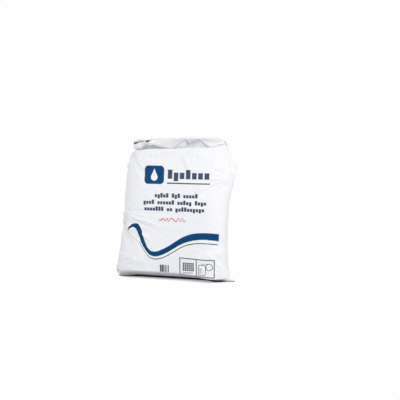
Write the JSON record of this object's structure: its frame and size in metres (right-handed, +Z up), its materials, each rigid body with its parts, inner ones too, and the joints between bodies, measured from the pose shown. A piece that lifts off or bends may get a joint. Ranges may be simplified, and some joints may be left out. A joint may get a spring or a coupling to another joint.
{
  "type": "sealed pack of urine drainage bags",
  "caption": "Soft white film pouch, sealed top and bottom and filled with folded drainage bags, standing on its flat base.",
  "frame": {"origin": "middle of the pack's outer box, on the ground under its base", "axes": "+Z up, -Y out of the printed front, +X to the right as one looks at the front"},
  "size_m": [0.2688, 0.0816, 0.2979],
  "materials": {
    "white_film": "satin white polyethylene film, creased, with blue, grey and red print on the front"
  },
  "bodies": {
    "root": {"sealed_pack": "white_film"}
  },
  "joints": []
}
